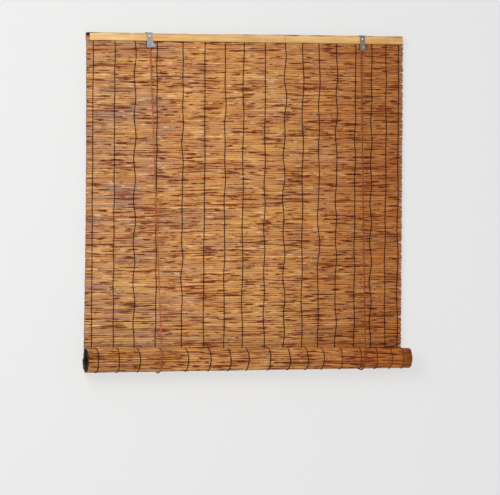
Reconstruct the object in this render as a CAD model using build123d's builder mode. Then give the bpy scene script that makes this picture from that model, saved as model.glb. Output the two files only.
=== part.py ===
from build123d import *
from math import cos, hypot, pi, radians, sin, tan
import os

os.makedirs("parts", exist_ok=True)

# Reed roll-up blind, hung on a wall. The origin is midway between its two hanging holes,
# on the wall plane. +X runs to the right, -Y comes out of the wall and +Z is up.

# The blind as a whole
mat_width = 903.0
left_overhang = 174.0
right_overhang = 121.0
roll_drop = 899.0

# Clearances, and the overrun of cuts
seat_gap = 0.05
moving_gap = 0.3
overrun = 5.0

# Head laths, split from bamboo, the front one with a slightly crowned face
lath_height = 20.4
lath_thickness = 7.0
lath_crown = 0.6
lath_edge = 0.8
front_lath_left_inset = 8.5
front_lath_right_inset = 3.5
back_lath_inset = 0.5

# Reed mat: one wall with a ridge for each reed, and gaps where crooked reeds part
reed_pitch = 6.2
reed_bulge = 1.1
reed_crest_share = 0.5
mat_thickness = 5.8
mat_lip = 1.0
gap_height = 1.4
edge_gap_length = 16.0
field_gap_length = 48.0
edge_gap_count = 20
field_gap_count = 26
gap_length_shares = (1.0, 0.55, 0.8)
golden_share = 0.618034

# Warp threads, at shares of the mat's width
thread_width = 1.2
thread_thickness = 0.5
thread_ring_sides = 10
warp_shares = (0.018, 0.085, 0.148, 0.216, 0.297, 0.366, 0.430, 0.487, 0.556,
               0.618, 0.676, 0.728, 0.784, 0.844, 0.896, 0.943, 0.983)

# Roll: the lower mat wound round the bottom lath, looser at the left
left_roll_radius = 33.4
right_roll_radius = 28.0
left_roll_overhang = 13.0
right_roll_overhang = 6.5
roll_turns = 4
seam_turns = 3.25
seam_steps = 12
turn_gap = 1.2
turn_gap_depth = 9.0
bottom_lath_width = 18.0
bottom_lath_thickness = 6.0
bottom_lath_inset = 14.0

# Pulley brackets, folded from zinc-plated sheet
sheet = 1.0
left_tab_width = 15.4
right_tab_width = 14.0
fold_bevel = 0.7
strap_lift = 0.6
hanging_hole_radius = 3.5
hanging_recess = 9.0
hanging_recess_depth = 5.5
plate_drop = 18.5
plate_bevel = 2.4
left_plate_flare = 12.5
left_plate_slant = 3.0
right_plate_flare = 2.5
right_plate_slant = 0.5

# Pulleys and their pins
pulley_radius = 5.6
pulley_width = 4.3
groove_depth = 1.6
rim_width = 0.5
pulley_drop = 9.0
left_pulley_shift = 8.0
right_pulley_shift = 2.6
pin_radius = 1.5
pin_play = 0.05

# Cut nails with square shanks: a round-headed tack in each bracket, and brads through the laths
tack_shank = 1.4
tack_length = 5.5
tack_head_radius = 2.6
tack_head_height = 0.9
tack_rise = 3.0
brad_shank = 1.8
brad_bite = 4.0
brad_shares = (0.03, 0.27, 0.5, 0.76, 0.97)

# Lift cords: where each one hangs on the roll and is tied at the head, from its hanging hole
cord_radius = 1.5
cord_sides = 4
left_loop_shift = 15.5
left_tie_shift = 3.5
right_loop_shift = -11.5
right_tie_shift = 3.5
loop_rise = 8.0
cord_lead = 8.0
knot_radius = 2.0
knot_length = 3.0
knot_drop = 5.2
tie_notch_depth = 4.0
bend_run_share = 0.45

# Places that follow from the sizes
hole_spacing = mat_width - left_overhang - right_overhang
mat_left = -hole_spacing / 2 - left_overhang
mat_right = mat_left + mat_width
left_hole_x = -hole_spacing / 2
right_hole_x = hole_spacing / 2
lath_top = lath_height / 2
lath_bottom = -lath_height / 2
back_lath_back = -sheet - seat_gap
back_lath_front = back_lath_back - lath_thickness
mat_back = back_lath_front - seat_gap
mat_front = mat_back - mat_thickness
front_lath_back = mat_front - seat_gap
front_lath_face = front_lath_back - lath_thickness
plate_back = front_lath_face - seat_gap
plate_front = plate_back - sheet
mat_top = lath_top + mat_lip
mat_bottom = (left_roll_radius + right_roll_radius) / 2 - roll_drop
strand_layer = thread_thickness + seat_gap
cheek_back = mat_front - strand_layer - moving_gap
ring_reach = (left_roll_radius + strand_layer) / cos(pi / thread_ring_sides)
roll_back = mat_front - strand_layer - moving_gap - (ring_reach - left_roll_radius)
roll_left = mat_left - left_roll_overhang
roll_length = left_roll_overhang + mat_width + right_roll_overhang
warp_places = [mat_left + share * mat_width for share in warp_shares]
brad_places = [mat_left + share * mat_width for share in brad_shares]


def roll_radius_at(x):
    share = (x - roll_left) / roll_length
    return left_roll_radius + share * (right_roll_radius - left_roll_radius)


def roll_centre_at(x):
    radius = roll_radius_at(x)
    return Vector(x, roll_back - radius, radius - roll_drop)


def facing_plane(x, y, z):
    return Plane(origin=(x, y, z), x_dir=(1, 0, 0), z_dir=(0, -1, 0))


def polar(radius, turn):
    return (radius * cos(2 * pi * turn), radius * sin(2 * pi * turn))


roll_start = roll_centre_at(roll_left)
roll_axis = roll_centre_at(roll_left + roll_length) - roll_start
roll_span = roll_axis.length
roll_plane = Plane(origin=roll_start, x_dir=roll_axis.cross(Vector(0, 1, 0)), z_dir=roll_axis)


# Head laths: a crowned strip in front of the mat, a flat one behind it
def lath_blank(left, length, back, face, crown):
    with BuildPart() as blank:
        with BuildSketch(Plane.YZ.offset(left)) as section:
            with BuildLine():
                Polyline((face + crown, lath_top), (back, lath_top), (back, lath_bottom),
                         (face + crown, lath_bottom))
                if crown:
                    ThreePointArc((face + crown, lath_bottom), (face, 0), (face + crown, lath_top))
                else:
                    Line((face, lath_bottom), (face, lath_top))
            make_face()
            chamfer(section.vertices(), lath_edge)
        extrude(amount=length)
    return blank.part


brad_hole = brad_shank + 2 * seat_gap
tack_hole = tack_shank + 2 * seat_gap
with BuildPart() as front_head_lath:
    add(lath_blank(mat_left + front_lath_left_inset,
                   mat_width - front_lath_left_inset - front_lath_right_inset,
                   front_lath_back, front_lath_face, lath_crown))
    for x in brad_places:
        with BuildSketch(facing_plane(x, front_lath_back, 0)):
            Rectangle(brad_hole, brad_hole)
        extrude(amount=brad_bite + seat_gap, mode=Mode.SUBTRACT)
    for x in (left_hole_x, right_hole_x):
        with BuildSketch(facing_plane(x, plate_front, tack_rise)):
            Rectangle(tack_hole, tack_hole)
        extrude(amount=-tack_length - seat_gap, mode=Mode.SUBTRACT)
front_head_lath.part.label = "front_head_lath"
export_step(front_head_lath.part, "parts/front_head_lath.step")

tie_y = mat_back + strand_layer + moving_gap + cord_radius
left_tie_x = left_hole_x + left_tie_shift
right_tie_x = right_hole_x + right_tie_shift
tie_notch_width = 2 * (cord_radius + moving_gap)
with BuildPart() as back_head_lath:
    add(lath_blank(mat_left + back_lath_inset, mat_width - 2 * back_lath_inset,
                   back_lath_back, back_lath_front, 0))
    for x in (left_hole_x, right_hole_x):
        with BuildSketch(facing_plane(x, back_lath_back, 0)):
            Rectangle(hanging_recess, hanging_recess)
        extrude(amount=hanging_recess_depth, mode=Mode.SUBTRACT)
    for x in brad_places:
        with BuildSketch(facing_plane(x, back_lath_back, 0)):
            Rectangle(brad_hole, brad_hole)
        extrude(amount=lath_thickness, mode=Mode.SUBTRACT)
    for x in (left_tie_x, right_tie_x):
        with BuildSketch(facing_plane(x, back_lath_back, lath_bottom)):
            Rectangle(tie_notch_width, 2 * tie_notch_depth)
        extrude(amount=lath_thickness, mode=Mode.SUBTRACT)
back_head_lath.part.label = "back_head_lath"
export_step(back_head_lath.part, "parts/back_head_lath.step")

with BuildPart() as lath_brads:
    for x in brad_places:
        with BuildSketch(facing_plane(x, back_lath_back, 0)):
            Rectangle(brad_shank, brad_shank)
        extrude(amount=back_lath_back - front_lath_back + brad_bite)
lath_brads.part.label = "lath_brads"
export_step(lath_brads.part, "parts/lath_brads.step")

# Reed mat: the outline of the reeds, front and back, drawn once and run across the width
reed_count = round((mat_top - mat_bottom) / reed_pitch)
reed_step = (mat_top - mat_bottom) / reed_count


def reed_z(row):
    return mat_bottom + row * reed_step


def reed_face(valley, crest):
    points = [(valley, mat_bottom)]
    for row in range(reed_count):
        points += [(crest, reed_z(row + reed_crest_share)), (valley, reed_z(row + 1))]
    return points


first_gap_row = round((2 * left_roll_radius - roll_drop - mat_bottom) / reed_step) + 1
last_gap_row = round((lath_bottom - plate_drop - mat_bottom) / reed_step) - 1


def gap_place(index, count, x):
    row = first_gap_row + round((last_gap_row - first_gap_row) * (index + 0.5) / count)
    return (x, (mat_front + mat_back) / 2, reed_z(row))


def field_x(index):
    margin = edge_gap_length + field_gap_length
    return mat_left + margin + (mat_width - 2 * margin) * (index * golden_share % 1)


with BuildPart() as reed_mat:
    with BuildSketch(Plane.YZ.offset(mat_left)):
        with BuildLine():
            Polyline(reed_face(mat_front + reed_bulge, mat_front)
                     + reed_face(mat_back - reed_bulge, mat_back)[::-1], close=True)
        make_face()
    extrude(amount=mat_width)
    for group, length_share in enumerate(gap_length_shares):
        edge_picks = range(group, edge_gap_count, len(gap_length_shares))
        field_picks = range(group, field_gap_count, len(gap_length_shares))
        with Locations(*[gap_place(i, edge_gap_count, (mat_left, mat_right)[i % 2]) for i in edge_picks]):
            Box(2 * edge_gap_length * length_share, 2 * mat_thickness, gap_height, mode=Mode.SUBTRACT)
        with Locations(*[gap_place(i, field_gap_count, field_x(i)) for i in field_picks]):
            Box(field_gap_length * length_share, 2 * mat_thickness, gap_height, mode=Mode.SUBTRACT)
    with Locations(*[(x, (mat_front + mat_back) / 2, 0) for x in brad_places]):
        Box(brad_hole, 2 * mat_thickness, brad_hole, mode=Mode.SUBTRACT)
reed_mat.part.label = "reed_mat"
export_step(reed_mat.part, "parts/reed_mat.step")

# Warp threads: a strand on each face of the mat at every warp
strand_top = lath_bottom - seat_gap
front_strand_y = mat_front - seat_gap - thread_thickness / 2
back_strand_y = mat_back + seat_gap + thread_thickness / 2
with BuildPart() as warp_threads:
    with Locations(*[(x, y, (strand_top + mat_bottom) / 2)
                     for x in warp_places for y in (front_strand_y, back_strand_y)]):
        Box(thread_width, thread_thickness, strand_top - mat_bottom)
warp_threads.part.label = "warp_threads"
export_step(warp_threads.part, "parts/warp_threads.step")

# Roll: reeds round the outer turn, a winding seam in each end, and a slot for the bottom lath
roll_reed_count = round(pi * (left_roll_radius + right_roll_radius) / reed_pitch)


def reed_ring(radius):
    points = []
    for reed in range(roll_reed_count):
        points += [polar(radius - reed_bulge, reed / roll_reed_count),
                   polar(radius, (reed + reed_crest_share) / roll_reed_count)]
    return points


def winding_seam(radius):
    core = hypot(bottom_lath_width, bottom_lath_thickness) / 2 + turn_gap
    growth = (radius - core) / roll_turns
    turns = [step / seam_steps for step in range(round(seam_turns * seam_steps) + 1)]
    inner = [polar(core + growth * turn - turn_gap / 2, turn) for turn in turns]
    outer = [polar(core + growth * turn + turn_gap / 2, turn) for turn in turns]
    return inner + outer[::-1]


with BuildPart() as rolled_mat:
    for along, radius in ((0, left_roll_radius), (roll_span, right_roll_radius)):
        with BuildSketch(roll_plane.offset(along)):
            with BuildLine():
                Polyline(reed_ring(radius), close=True)
            make_face()
    loft(ruled=True)
    for along, radius, depth in ((0, left_roll_radius, turn_gap_depth),
                                 (roll_span, right_roll_radius, -turn_gap_depth)):
        with BuildSketch(roll_plane.offset(along)):
            with BuildLine():
                Polyline(winding_seam(radius), close=True)
            make_face()
        extrude(amount=depth, mode=Mode.SUBTRACT)
    with BuildSketch(roll_plane):
        Rectangle(bottom_lath_width + 2 * seat_gap, bottom_lath_thickness + 2 * seat_gap)
    extrude(amount=roll_span, mode=Mode.SUBTRACT)
rolled_mat.part.label = "rolled_mat"
export_step(rolled_mat.part, "parts/rolled_mat.step")

with BuildPart() as roll_warp_threads:
    for x in warp_places:
        inside = roll_radius_at(x) + seat_gap
        along = (x - roll_left) / roll_length * roll_span
        with BuildSketch(roll_plane.offset(along - thread_width / 2)):
            RegularPolygon(inside + thread_thickness, thread_ring_sides, major_radius=False)
            RegularPolygon(inside, thread_ring_sides, major_radius=False, mode=Mode.SUBTRACT)
        extrude(amount=thread_width)
roll_warp_threads.part.label = "roll_warp_threads"
export_step(roll_warp_threads.part, "parts/roll_warp_threads.step")

with BuildPart() as bottom_lath:
    with BuildSketch(roll_plane.offset(bottom_lath_inset)):
        Rectangle(bottom_lath_width, bottom_lath_thickness)
    extrude(amount=roll_span - 2 * bottom_lath_inset)
bottom_lath.part.label = "bottom_lath"
export_step(bottom_lath.part, "parts/bottom_lath.step")

# Pulley brackets: a strap over the laths, and a folded housing for the pulley below them
cheek_front = cheek_back - sheet
strap_top = mat_top + strap_lift + sheet
pulley_z = lath_bottom - pulley_drop
pulley_y = (plate_back + cheek_front) / 2


def pulley_bracket(hole_x, tab_width, flare, slant, pulley_shift):
    left, right = hole_x - tab_width / 2, hole_x + tab_width / 2
    far = right + flare
    plate_bottom = lath_bottom - plate_drop
    with BuildPart() as bracket:
        with BuildSketch(Plane.XY.offset(plate_bottom)):
            with BuildLine():
                Polyline((far, plate_front), (left, plate_front), (left, cheek_back), (far, cheek_back),
                         (far, cheek_front), (left + sheet, cheek_front), (left + sheet, plate_back),
                         (far, plate_back), close=True)
            make_face()
        extrude(amount=plate_drop - seat_gap)
        with BuildSketch(Plane.XZ) as outline:
            with BuildLine():
                Polyline((left, lath_bottom), (right, lath_bottom), (far, plate_bottom + slant),
                         (left, plate_bottom), close=True)
            make_face()
            chamfer(outline.vertices().sort_by(Axis.Y)[:2], plate_bevel)
        extrude(amount=-plate_front + overrun, mode=Mode.INTERSECT)
        with BuildSketch(Plane.YZ.offset(left)) as strap:
            with BuildLine():
                Polyline((0, lath_bottom), (0, strap_top), (plate_front, strap_top),
                         (plate_front, lath_bottom - sheet), (plate_back, lath_bottom - sheet),
                         (plate_back, strap_top - sheet), (-sheet, strap_top - sheet),
                         (-sheet, lath_bottom), close=True)
            make_face()
            chamfer(strap.vertices().group_by(Axis.Y)[-1], fold_bevel)
        extrude(amount=tab_width)
        with BuildSketch(facing_plane(hole_x, 0, 0)):
            Circle(hanging_hole_radius)
        extrude(amount=sheet, mode=Mode.SUBTRACT)
        with BuildSketch(facing_plane(hole_x, plate_back, tack_rise)):
            Rectangle(tack_hole, tack_hole)
        extrude(amount=sheet, mode=Mode.SUBTRACT)
        with BuildSketch(facing_plane(hole_x + pulley_shift, cheek_back, pulley_z)):
            Circle(pin_radius + pin_play)
        extrude(amount=cheek_back - plate_front, mode=Mode.SUBTRACT)
    return bracket.part


def pulley_wheel(x):
    bore = pin_radius + pin_play
    floor = pulley_radius - groove_depth
    half_width = pulley_width / 2
    with BuildPart() as wheel:
        with BuildSketch(Plane(origin=(x, pulley_y, pulley_z))):
            with BuildLine():
                Polyline((bore, half_width), (pulley_radius, half_width),
                         (pulley_radius, half_width - rim_width), (floor, half_width - rim_width),
                         (floor, rim_width - half_width), (pulley_radius, rim_width - half_width),
                         (pulley_radius, -half_width), (bore, -half_width), close=True)
            make_face()
        revolve(axis=Axis((x, pulley_y, pulley_z), (0, 1, 0)))
    return wheel.part


def pulley_pin(x):
    with BuildPart() as pin:
        with BuildSketch(facing_plane(x, cheek_back, pulley_z)):
            Circle(pin_radius)
        extrude(amount=cheek_back - plate_front)
    return pin.part


left_pulley_x = left_hole_x + left_pulley_shift
right_pulley_x = right_hole_x + right_pulley_shift

with BuildPart() as left_pulley_bracket:
    add(pulley_bracket(left_hole_x, left_tab_width, left_plate_flare, left_plate_slant,
                       left_pulley_shift))
left_pulley_bracket.part.label = "left_pulley_bracket"
export_step(left_pulley_bracket.part, "parts/left_pulley_bracket.step")

with BuildPart() as right_pulley_bracket:
    add(pulley_bracket(right_hole_x, right_tab_width, right_plate_flare, right_plate_slant,
                       right_pulley_shift))
right_pulley_bracket.part.label = "right_pulley_bracket"
export_step(right_pulley_bracket.part, "parts/right_pulley_bracket.step")

with BuildPart() as left_pulley:
    add(pulley_wheel(left_pulley_x))
left_pulley.part.label = "left_pulley"
export_step(left_pulley.part, "parts/left_pulley.step")

with BuildPart() as right_pulley:
    add(pulley_wheel(right_pulley_x))
right_pulley.part.label = "right_pulley"
export_step(right_pulley.part, "parts/right_pulley.step")

with BuildPart() as left_pulley_pin:
    add(pulley_pin(left_pulley_x))
left_pulley_pin.part.label = "left_pulley_pin"
export_step(left_pulley_pin.part, "parts/left_pulley_pin.step")

with BuildPart() as right_pulley_pin:
    add(pulley_pin(right_pulley_x))
right_pulley_pin.part.label = "right_pulley_pin"
export_step(right_pulley_pin.part, "parts/right_pulley_pin.step")

with BuildPart() as bracket_tacks:
    for x in (left_hole_x, right_hole_x):
        with BuildSketch(facing_plane(x, plate_front, tack_rise)):
            Rectangle(tack_shank, tack_shank)
        extrude(amount=-tack_length)
        with BuildSketch(facing_plane(x, plate_front, tack_rise)):
            Circle(tack_head_radius)
        extrude(amount=tack_head_height)
bracket_tacks.part.label = "bracket_tacks"
export_step(bracket_tacks.part, "parts/bracket_tacks.step")

# Lift cords: over the pulley and down the front, round under the roll, up the back to the head
cord_circle = pulley_radius - groove_depth + moving_gap + cord_radius


def loop_radius_at(x):
    return roll_radius_at(x) + moving_gap + cord_radius


def front_cord(pulley_x, loop_x):
    centre = roll_centre_at(loop_x)
    knot = (pulley_x + cord_circle, pulley_y, pulley_z - knot_drop)
    rise = (pulley_x + cord_circle, pulley_y, pulley_z)
    over = (pulley_x, pulley_y, pulley_z + cord_circle)
    fall = Vector(pulley_x - cord_circle, pulley_y, pulley_z)
    lead = Vector(pulley_x - cord_circle, pulley_y, pulley_z - cord_lead)
    end = Vector(loop_x, centre.Y - loop_radius_at(loop_x), centre.Z + loop_rise + moving_gap)
    turn = (lead - fall).get_angle(end - lead)
    lead_radius = bend_run_share * cord_lead / tan(radians(turn / 2))
    print("front cord radii", round(cord_circle, 2), round(lead_radius, 1))
    with BuildPart() as cord:
        with BuildLine() as route:
            Line(knot, rise)
            ThreePointArc(rise, over, fall)
            FilletPolyline(fall, lead, end, radius=lead_radius)
        with BuildSketch(Plane(origin=knot, z_dir=(0, 0, 1))):
            RegularPolygon(cord_radius, cord_sides)
        sweep(path=route.wire())
        with BuildSketch(Plane(origin=knot, z_dir=(0, 0, 1))):
            RegularPolygon(knot_radius, cord_sides)
        extrude(amount=-knot_length)
    return cord.part


def cord_loop(loop_x):
    centre, radius = roll_centre_at(loop_x), loop_radius_at(loop_x)
    front_y, low_z, top_z = centre.Y - radius, centre.Z - radius, centre.Z + loop_rise
    print("cord loop radii", round(radius, 2))
    with BuildPart() as loop:
        with BuildLine() as route:
            FilletPolyline((loop_x, front_y, top_z), (loop_x, front_y, low_z), (loop_x, tie_y, low_z),
                           (loop_x, tie_y, top_z), radius=radius)
        with BuildSketch(Plane(origin=(loop_x, front_y, top_z), z_dir=(0, 0, -1))):
            RegularPolygon(cord_radius, cord_sides)
        sweep(path=route.wire())
    return loop.part


def back_cord(loop_x, tie_x):
    foot = Vector(loop_x, tie_y, roll_centre_at(loop_x).Z + loop_rise + moving_gap)
    tie = Vector(tie_x, tie_y, lath_bottom + tie_notch_depth - moving_gap)
    with BuildPart() as cord:
        with BuildSketch(Plane(origin=foot, z_dir=tie - foot)):
            RegularPolygon(cord_radius, cord_sides)
        extrude(amount=(tie - foot).length)
    return cord.part


left_loop_x = left_hole_x + left_loop_shift
right_loop_x = right_hole_x + right_loop_shift

with BuildPart() as left_front_cord:
    add(front_cord(left_pulley_x, left_loop_x))
left_front_cord.part.label = "left_front_cord"
export_step(left_front_cord.part, "parts/left_front_cord.step")

with BuildPart() as right_front_cord:
    add(front_cord(right_pulley_x, right_loop_x))
right_front_cord.part.label = "right_front_cord"
export_step(right_front_cord.part, "parts/right_front_cord.step")

with BuildPart() as cord_loops:
    add(cord_loop(left_loop_x))
    add(cord_loop(right_loop_x))
cord_loops.part.label = "cord_loops"
export_step(cord_loops.part, "parts/cord_loops.step")

with BuildPart() as left_back_cord:
    add(back_cord(left_loop_x, left_tie_x))
left_back_cord.part.label = "left_back_cord"
export_step(left_back_cord.part, "parts/left_back_cord.step")

with BuildPart() as right_back_cord:
    add(back_cord(right_loop_x, right_tie_x))
right_back_cord.part.label = "right_back_cord"
export_step(right_back_cord.part, "parts/right_back_cord.step")
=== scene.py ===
import math
import bpy
import numpy as np
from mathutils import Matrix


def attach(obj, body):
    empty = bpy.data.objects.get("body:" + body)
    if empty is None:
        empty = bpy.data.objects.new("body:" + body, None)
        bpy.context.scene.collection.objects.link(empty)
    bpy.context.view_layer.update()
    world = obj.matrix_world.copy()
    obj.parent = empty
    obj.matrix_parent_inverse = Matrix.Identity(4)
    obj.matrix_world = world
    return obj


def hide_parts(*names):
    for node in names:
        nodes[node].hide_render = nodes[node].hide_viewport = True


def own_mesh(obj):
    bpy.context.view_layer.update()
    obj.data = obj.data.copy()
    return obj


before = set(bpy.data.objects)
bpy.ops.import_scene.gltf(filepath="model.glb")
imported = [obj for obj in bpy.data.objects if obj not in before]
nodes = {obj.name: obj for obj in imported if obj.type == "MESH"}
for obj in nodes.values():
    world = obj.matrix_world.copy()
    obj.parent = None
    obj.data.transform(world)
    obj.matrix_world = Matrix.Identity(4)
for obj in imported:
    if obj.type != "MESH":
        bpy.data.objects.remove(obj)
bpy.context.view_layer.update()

# where the blind's main lines are, in metres, as on the CAD model
blind = {
    "left": -0.478, "right": 0.425, "bottom": -0.8683, "midY": -0.011, "lathBottom": -0.0102,
    "rollBack": -0.017047, "rollLeft": -0.491, "rollLength": 0.9225, "leftRadius": 0.0334,
    "rightRadius": 0.028, "rollDrop": 0.899, "lift": 0.75, "brackets": (-0.304, 0.304),
    "warpShares": (0.018, 0.085, 0.148, 0.216, 0.297, 0.366, 0.430, 0.487, 0.556,
                   0.618, 0.676, 0.728, 0.784, 0.844, 0.896, 0.943, 0.983),
}


def rollRadius(x):
    share = (x - blind["rollLeft"]) / blind["rollLength"]
    return blind["leftRadius"] + share * (blind["rightRadius"] - blind["leftRadius"])


def rollCentre(x):
    radius = rollRadius(x)
    return np.array((x, blind["rollBack"] - radius, radius - blind["rollDrop"]))


def paint(red, green, blue):  # sRGB 0-255 to the linear colour a socket takes
    share = [c / 255 for c in (red, green, blue)]
    linear = [c / 12.92 if c < 0.04 else ((c + 0.055) / 1.055) ** 2.4 for c in share]
    return (*linear, 1.0)


# node tree tools
def newMaterial(name, **sockets):
    material = bpy.data.materials.new(name)
    material.use_nodes = True
    surface = material.node_tree.nodes["Principled BSDF"]
    for socket, value in sockets.items():
        surface.inputs[socket.replace("_", " ")].default_value = value
    return material, material.node_tree, surface


def addNode(tree, kind, **values):
    node = tree.nodes.new("ShaderNode" + kind)
    for key, value in values.items():
        setattr(node, key, value)
    return node


def feed(tree, socket, source):
    if isinstance(source, bpy.types.NodeSocket):
        tree.links.new(source, socket)
    else:
        socket.default_value = source


def sums(tree, operation, first, second=0.0):
    node = addNode(tree, "Math", operation=operation)
    feed(tree, node.inputs[0], first)
    feed(tree, node.inputs[1], second)
    return node.outputs[0]


def spread(tree, x, y, z):
    node = addNode(tree, "CombineXYZ")
    for socket, source in zip(node.inputs, (x, y, z)):
        feed(tree, socket, source)
    return node.outputs[0]


def stretched(tree, axes, factors):  # the larger a factor, the finer the texture that way
    return spread(tree, *[sums(tree, "MULTIPLY", axis, factor) for axis, factor in zip(axes, factors)])


def cloud(tree, vector, scale, detail=2.0):
    node = addNode(tree, "TexNoise")
    feed(tree, node.inputs["Vector"], vector)
    feed(tree, node.inputs["Scale"], scale)
    feed(tree, node.inputs["Detail"], detail)
    return node.outputs["Fac"]


def remap(tree, source, low, high, toLow=0.0, toHigh=1.0):
    node = addNode(tree, "MapRange", interpolation_type="SMOOTHSTEP")
    for key, value in (("Value", source), ("From Min", low), ("From Max", high),
                       ("To Min", toLow), ("To Max", toHigh)):
        feed(tree, node.inputs[key], value)
    return node.outputs["Result"]


def mixed(tree, factor, first, second, mode="MIX"):
    node = addNode(tree, "Mix", data_type="RGBA", blend_type=mode)
    feed(tree, node.inputs[0], factor)
    feed(tree, node.inputs[6], first)
    feed(tree, node.inputs[7], second)
    return node.outputs[2]


def relief(tree, surface, height, strength, distance):
    node = addNode(tree, "Bump")
    feed(tree, node.inputs["Height"], height)
    feed(tree, node.inputs["Strength"], strength)
    feed(tree, node.inputs["Distance"], distance)
    tree.links.new(node.outputs["Normal"], surface.inputs["Normal"])


def place(tree):
    coordinate = addNode(tree, "TexCoord")
    axes = addNode(tree, "SeparateXYZ")
    tree.links.new(coordinate.outputs["Object"], axes.inputs[0])
    return axes.outputs["X"], axes.outputs["Y"], axes.outputs["Z"]


def marks(tree, name):  # the per-point marks that the mesh carries
    attribute = addNode(tree, "Attribute", attribute_name=name)
    channels = addNode(tree, "SeparateColor")
    tree.links.new(attribute.outputs["Color"], channels.inputs[0])
    return (*channels.outputs[:3], attribute.outputs["Alpha"])


# mesh tools: every long piece is a skin over rings, going round from +Y to +Z about +X
def ringAngles(sides):
    return np.arange(sides) * 2 * np.pi / sides


def skin(rings, start):
    count, sides = rings.shape[:2]
    row = start + np.arange(count - 1)[:, None] * sides
    side = np.arange(sides)[None, :]
    after = (side + 1) % sides
    quads = np.stack((row + side, row + after, row + sides + after, row + sides + side), -1)
    last = start + (count - 1) * sides
    firstEnd = list(range(start + sides - 1, start - 1, -1))
    lastEnd = list(range(last, last + sides))
    return quads.reshape(-1, 4).tolist() + [firstEnd, lastEnd]


def skinned(name, parts, material, markName=None, sharp=50):
    faces, start = [], 0
    for rings, _ in parts:
        faces += skin(rings, start)
        start += rings.shape[0] * rings.shape[1]
    mesh = bpy.data.meshes.new(name)
    mesh.from_pydata(np.concatenate([rings.reshape(-1, 3) for rings, _ in parts]).tolist(), [], faces)
    if markName:
        layer = mesh.color_attributes.new(markName, "FLOAT_COLOR", "POINT")
        tints = np.concatenate([tint.reshape(-1, 4) for _, tint in parts])
        layer.data.foreach_set("color", tints.ravel())
    mesh.shade_smooth()
    mesh.set_sharp_from_angle(angle=math.radians(sharp))
    mesh.materials.append(material)
    piece = bpy.data.objects.new(name, mesh)
    bpy.context.scene.collection.objects.link(piece)
    return piece


def acrossLine(line, reference):  # two directions square to the line at each of its points
    along = np.gradient(line, axis=0)
    along /= np.linalg.norm(along, axis=1)[:, None]
    reference = np.asarray(reference, float)
    across = reference - (along @ reference)[:, None] * along
    across /= np.linalg.norm(across, axis=1)[:, None]
    return across, np.cross(along, across)


def tubeRings(line, radius, sides, reference):
    across, other = acrossLine(line, reference)
    angle = ringAngles(sides)[None, :, None]
    return line[:, None] + radius * (np.cos(angle) * across[:, None] + np.sin(angle) * other[:, None])


# camera at the photograph's view, 500 x 495
cameraSet = {"azimuth": -18, "distance": 10.0, "target": (-0.0275, 0, -0.4391), "lens": 265,
             "sensor": 36, "shiftX": 0.010, "shiftY": -0.0942, "farthest": 50}


def placeCamera():
    data = bpy.data.cameras.new("viewCamera")
    data.lens = cameraSet["lens"]
    data.sensor_width = cameraSet["sensor"]
    data.shift_x = cameraSet["shiftX"]
    data.shift_y = cameraSet["shiftY"]
    data.clip_end = cameraSet["farthest"]
    camera = bpy.data.objects.new("viewCamera", data)
    turn = math.radians(cameraSet["azimuth"])
    x, y, z = cameraSet["target"]
    reach = cameraSet["distance"]
    camera.location = (x + reach * math.sin(turn), y - reach * math.cos(turn), z)
    camera.rotation_euler = (math.pi / 2, 0, turn)
    bpy.context.scene.collection.objects.link(camera)
    bpy.context.scene.camera = camera


# soft light: an even room, a wide lamp at the front left and one at the back right
lightSet = {
    "room": 0.5, "lampSize": 1.4, "lampTo": (-0.05, 0, -0.45), "lampColour": (1.0, 0.985, 0.96),
    "lamps": {"leftLamp": {"at": (-1.7, -2.3, 0.35), "power": 58},
              "backLamp": {"at": (1.6, 3.6, 1.0), "power": 85}},
}


def seenRays(tree):  # 1 where the eye, a reflection or a clear piece looks at the backdrop
    path = addNode(tree, "LightPath")
    direct = sums(tree, "MAXIMUM", path.outputs["Is Camera Ray"], path.outputs["Is Transmission Ray"])
    return sums(tree, "MAXIMUM", direct, path.outputs["Is Glossy Ray"])


def lightRoom():
    scene = bpy.context.scene
    scene.view_settings.view_transform = "Standard"
    world = bpy.data.worlds.new("room")
    scene.world = world
    world.use_nodes = True
    tree = world.node_tree
    room = tree.nodes["Background"]
    room.inputs["Color"].default_value = (1, 1, 1, 1)
    feed(tree, room.inputs["Strength"], remap(tree, seenRays(tree), 0, 1, lightSet["room"], 1.0))
    for name, lampSet in lightSet["lamps"].items():
        data = bpy.data.lights.new(name, "AREA")
        data.energy = lampSet["power"]
        data.size = lightSet["lampSize"]
        data.color = lightSet["lampColour"]
        lamp = bpy.data.objects.new(name, data)
        lamp.location = lampSet["at"]
        aim = np.array(lightSet["lampTo"]) - np.array(lampSet["at"])
        tilt = math.acos(-aim[2] / np.linalg.norm(aim))
        lamp.rotation_euler = (tilt, 0, math.atan2(aim[1], aim[0]) - math.pi / 2)
        scene.collection.objects.link(lamp)


# pale floor and wall
stageSet = {"floorZ": -1.35, "floorHalf": 6, "floorFront": -9, "floorBack": 6, "floorGlow": 0.5,
            "floorColour": 0.32, "wallY": 0.001, "wallHalf": 3, "wallTop": 1.6, "wallGlow": 0.6,
            "wallColour": 0.21}


def stagePlane(name, corners, material):
    mesh = bpy.data.meshes.new(name)
    mesh.from_pydata(corners, [], [(0, 1, 2, 3)])
    mesh.materials.append(material)
    plane = bpy.data.objects.new(name, mesh)
    bpy.context.scene.collection.objects.link(plane)


def chosen(tree, factor, first, second):
    node = addNode(tree, "MixShader")
    for socket, source in zip(node.inputs, (factor, first, second)):
        tree.links.new(source, socket)
    return node.outputs[0]


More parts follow.
